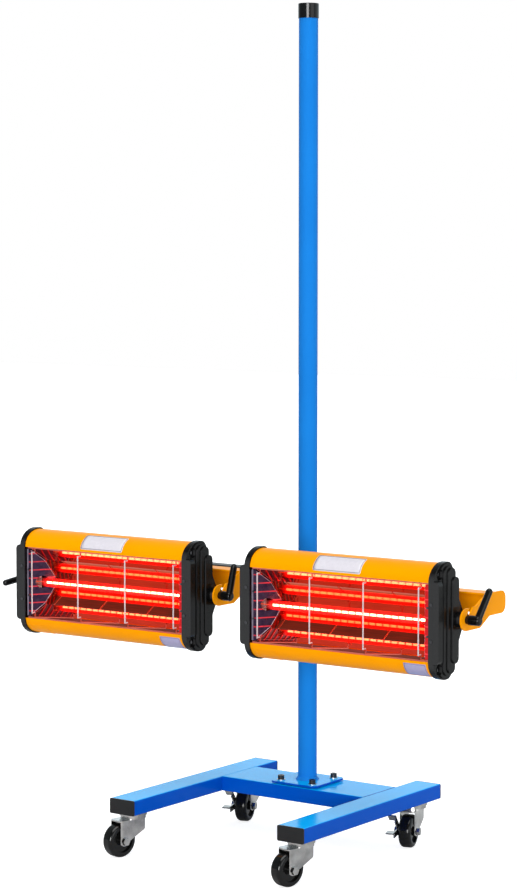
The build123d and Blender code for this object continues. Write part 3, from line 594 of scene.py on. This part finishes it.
# Coil of each lamp: wound stretches with short straight links, and a lead at each end
COIL_PERIOD = 15.6 * MM
COIL_LINK = 3.4 * MM
COIL_RADIUS = 1.9 * MM
COIL_WIRE = 0.42 * MM
COIL_WIRE_SIDES = 6
COIL_PITCH = 1.35 * MM
COIL_STRETCHES = 22
COIL_SHIFT = 7.8 * MM
LINK_WIRE = 0.55 * MM
TURN_STEPS = 10


def add_coil(head):
    low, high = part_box(head + "_filament")
    centre = (low + high) / 2
    start = centre.x + COIL_SHIFT - COIL_STRETCHES * COIL_PERIOD / 2
    wound = COIL_PERIOD - COIL_LINK
    steps = round(wound / COIL_PITCH) * TURN_STEPS
    build = bmesh.new()
    for i in range(COIL_STRETCHES):
        x0 = start + i * COIL_PERIOD + COIL_LINK / 2
        path = []
        for k in range(steps + 1):
            angle = 2 * math.pi * k / TURN_STEPS
            path.append(Vector((x0 + wound * k / steps,
                                centre.y + COIL_RADIUS * math.cos(angle),
                                centre.z + COIL_RADIUS * math.sin(angle))))
        add_tube(build, path, COIL_WIRE, COIL_WIRE_SIDES)
    add_piece(head + "_coil", build, MATERIALS["tungsten"], head,
              (head + "_filament",))
    build = bmesh.new()
    for i in range(COIL_STRETCHES + 1):
        x0 = start + i * COIL_PERIOD - COIL_LINK / 2
        x1 = x0 + COIL_LINK
        x0 = low.x if i == 0 else x0
        x1 = high.x if i == COIL_STRETCHES else x1
        add_tube(build, [Vector((x0, centre.y, centre.z)), Vector((x1, centre.y, centre.z))],
                 LINK_WIRE)
    add_piece(head + "_coil_links", build, LINK_WIRE_GLOW, head)


# Pale wire where each flared end plate meets the trough, a painted edge highlight, and a trim
# beside the left cap
FLANGE_INSIDE = 8.5 * MM
FLARE_RUN = 28.0 * MM
PLATE_THICK = 1.0 * MM
RIM_WIRE = 0.55 * MM
RIM_LIFT = 1.2 * MM
RIM_STEPS = 12
KNEE_BACK_SHARE = 0.515
KNEE_HEIGHT_SHARE = 0.66
TRIM_WIDTH = 3.6 * MM
TRIM_THICK = 1.0 * MM
TRIM_GAP = 0.05 * MM
TRIM_BEVEL = 0.25 * MM


def trough_outline(head):
    """Points (y, z) along the inside of the trough, from its upper edge to its lower one."""
    low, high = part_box(head + "_reflector_ends")
    trough_low, trough_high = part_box(head + "_reflector")
    centre = (low.z + high.z) / 2
    front = trough_low.y
    half = (high.z - low.z) / 2
    apex = trough_high.y - 2 * PLATE_THICK
    knee = (front + (apex - front) * KNEE_BACK_SHARE, half * KNEE_HEIGHT_SHARE)
    corners = [(front, half), knee, (apex, 0.0), (knee[0], -knee[1]), (front, -half)]
    points = []
    for (y0, z0), (y1, z1) in zip(corners, corners[1:]):
        for k in range(RIM_STEPS):
            share = k / RIM_STEPS
            points.append((y0 + (y1 - y0) * share, centre + z0 + (z1 - z0) * share))
    points.append((corners[-1][0], centre + corners[-1][1]))
    return points


def add_end_rims(head):
    low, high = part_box(head + "_reflector_ends")
    centre_z = (low.z + high.z) / 2
    for side, name, outer in ((-1, "left", low.x), (1, "right", high.x)):
        inner = outer - side * FLANGE_INSIDE
        path = []
        for y, z in trough_outline(head):
            back = (y - low.y) / (high.y - low.y)
            if 0.0 <= back <= 1.0:
                lift = RIM_LIFT if z < centre_z else -RIM_LIFT
                path.append(Vector((inner - side * (FLARE_RUN * back + RIM_LIFT), y, z + lift)))
        build = bmesh.new()
        add_tube(build, [point for point in path if point.z > centre_z], RIM_WIRE)
        add_tube(build, [point for point in path if point.z <= centre_z], RIM_WIRE)
        add_piece("%s_%s_end_rim" % (head, name), build, RIM_HIGHLIGHT_STEEL, head)


def add_end_trim(head):
    low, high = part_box(head + "_reflector_ends")
    build = bmesh.new()
    add_bevelled_bar(build, Vector((low.x, low.y - TRIM_THICK, low.z)),
                     Vector((low.x + TRIM_WIDTH, low.y - TRIM_GAP, high.z)), TRIM_BEVEL)
    add_piece(head + "_end_trim", build, TRIM_STEEL, head, smooth=False)


# Elliptical bands of the housing above and below each window
BAND_RUN = 40.0 * MM
BAND_RISE = 32.5 * MM
BAND_STEPS = 200
WINDOW_HALF = 72.0 * MM
ABOVE, BELOW = 1, -1


def band_angle(distance):
    """Angle on the band at a distance along it from the window's edge."""
    walked, angle = 0.0, 0.0
    step = math.pi / 2 / BAND_STEPS
    while walked < distance and angle < math.pi / 2:
        walked += step * math.hypot(BAND_RUN * math.sin(angle + step / 2),
                                    BAND_RISE * math.cos(angle + step / 2))
        angle += step
    return angle


def band_point(head, side, x, distance, lift):
    low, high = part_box(head + "_housing")
    centre = (low + high) / 2
    angle = band_angle(distance)
    normal = Vector((0.0, -math.cos(angle) * BAND_RISE, side * math.sin(angle) * BAND_RUN))
    place = Vector((centre.x + x, low.y + BAND_RUN * (1 - math.cos(angle)),
                    centre.z + side * (WINDOW_HALF + BAND_RISE * math.sin(angle))))
    return place + normal.normalized() * lift


# Blank films and a raised frame on the bands, in millimetres. A place is its left and right edge
# from the head's middle, then its near and far edge along the band from the window's edge.
WHITE_PLACES = {"left_head": (-56.0, 49.0, 4.5, 42.0), "right_head": (-56.0, 50.0, 4.5, 42.0)}
LILAC_PLACES = {"left_head": (141.0, 190.0, 6.5, 44.0), "right_head": (143.0, 191.0, 4.5, 38.0)}
RAISED_PLACES = {"left_head": (-186.0, -143.0, 10.7, 44.0),
                 "right_head": (-186.0, -140.0, 9.5, 44.0)}
RAISED_CORNER = 2.0
RAISED_LIFT = 0.1
RAISED_WIRE = 0.55
# Name, side, places, film's corner, line's margin, line's corner, line's wire, film, line
FILMS = (("white_film", ABOVE, WHITE_PLACES, 3.5, 2.2, 2.5, 0.4, WHITE_FILM, GREY_INK),
         ("lilac_film", BELOW, LILAC_PLACES, 1.0, 1.8, 0.8, 0.35, LILAC_FILM, LILAC_INK))
FILM_LIFT = 0.02
FILM_THICK = 0.15
FILM_COLUMNS, FILM_ROWS = 12, 16
LINE_LIFT = 0.2
LINE_SIDES = 6
LINE_STEP = 4.0
CORNER_STEPS = 4


def rounded_half_width(distance, low, high, half, corner):
    """Half width of a rounded rectangle at a distance between its low and high edges."""
    into = max(0.0, max(low + corner - distance, distance - (high - corner)))
    return half - corner + math.sqrt(max(0.0, corner * corner - into * into))


def add_film(build, head, side, place, corner):
    """Thin sheet on the band, a rounded rectangle."""
    x0, x1, start, end = (value * MM for value in place)
    corner *= MM
    layers = []
    for height in (FILM_LIFT * MM + FILM_THICK * MM, FILM_LIFT * MM):
        grid = []
        for j in range(FILM_ROWS + 1):
            share = (1 - math.cos(math.pi * j / FILM_ROWS)) / 2
            distance = start + (end - start) * share
            half = rounded_half_width(distance, start, end, (x1 - x0) / 2, corner)
            grid.append([build.verts.new(band_point(head, side,
                                                    (x0 + x1) / 2
                                                    + half * (2 * i / FILM_COLUMNS - 1),
                                                    distance, height))
                         for i in range(FILM_COLUMNS + 1)])
        layers.append(grid)
    top, under = layers
    for j in range(FILM_ROWS):
        for i in range(FILM_COLUMNS):
            build.faces.new((top[j][i], top[j][i + 1], top[j + 1][i + 1], top[j + 1][i]))
            build.faces.new((under[j][i], under[j + 1][i], under[j + 1][i + 1], under[j][i + 1]))
        build.faces.new((top[j][0], top[j + 1][0], under[j + 1][0], under[j][0]))
        build.faces.new((top[j][-1], under[j][-1], under[j + 1][-1], top[j + 1][-1]))
    for i in range(FILM_COLUMNS):
        build.faces.new((top[0][i], under[0][i], under[0][i + 1], top[0][i + 1]))
        build.faces.new((top[-1][i], top[-1][i + 1], under[-1][i + 1], under[-1][i]))
    bmesh.ops.recalc_face_normals(build, faces=build.faces)


def add_frame_line(build, head, side, place, corner, lift, wire):
    """Thin raised line round a rounded rectangle on the band."""
    x0, x1, start, end = (value * MM for value in place)
    corner *= MM
    flat = []
    for cx, cy, first in ((x1 - corner, end - corner, 0), (x0 + corner, end - corner, 90),
                          (x0 + corner, start + corner, 180), (x1 - corner, start + corner, 270)):
        for k in range(CORNER_STEPS + 1):
            angle = math.radians(first + 90 * k / CORNER_STEPS)
            flat.append((cx + corner * math.cos(angle), cy + corner * math.sin(angle)))
    path = []
    for (xa, da), (xb, db) in zip(flat, flat[1:] + flat[:1]):
        count = max(1, round(math.hypot(xb - xa, db - da) / (LINE_STEP * MM)))
        for k in range(count):
            share = k / count
            path.append(band_point(head, side, xa + (xb - xa) * share,
                                   da + (db - da) * share, lift * MM))
    add_tube(build, path, wire * MM, LINE_SIDES, closed=True)


def inside(place, margin):
    x0, x1, start, end = place
    return x0 + margin, x1 - margin, start + margin, end - margin


def add_films(head):
    for name, side, places, corner, margin, line_corner, wire, film, ink in FILMS:
        build = bmesh.new()
        add_film(build, head, side, places[head], corner)
        add_piece("%s_%s" % (head, name), build, film, head)
        build = bmesh.new()
        add_frame_line(build, head, side, inside(places[head], margin), line_corner, LINE_LIFT,
                       wire)
        add_piece("%s_%s_line" % (head, name), build, ink, head)
    build = bmesh.new()
    add_frame_line(build, head, BELOW, RAISED_PLACES[head], RAISED_CORNER, RAISED_LIFT,
                   RAISED_WIRE)
    add_piece(head + "_raised_frame", build, MATERIALS["yellow_paint"], head)


add_camera()
add_world()
add_suns()
add_floor()
bpy.context.scene.view_settings.view_transform = "Standard"
dress_nodes()
for head in HEADS:
    add_coil(head)
    add_end_rims(head)
    add_end_trim(head)
    add_films(head)
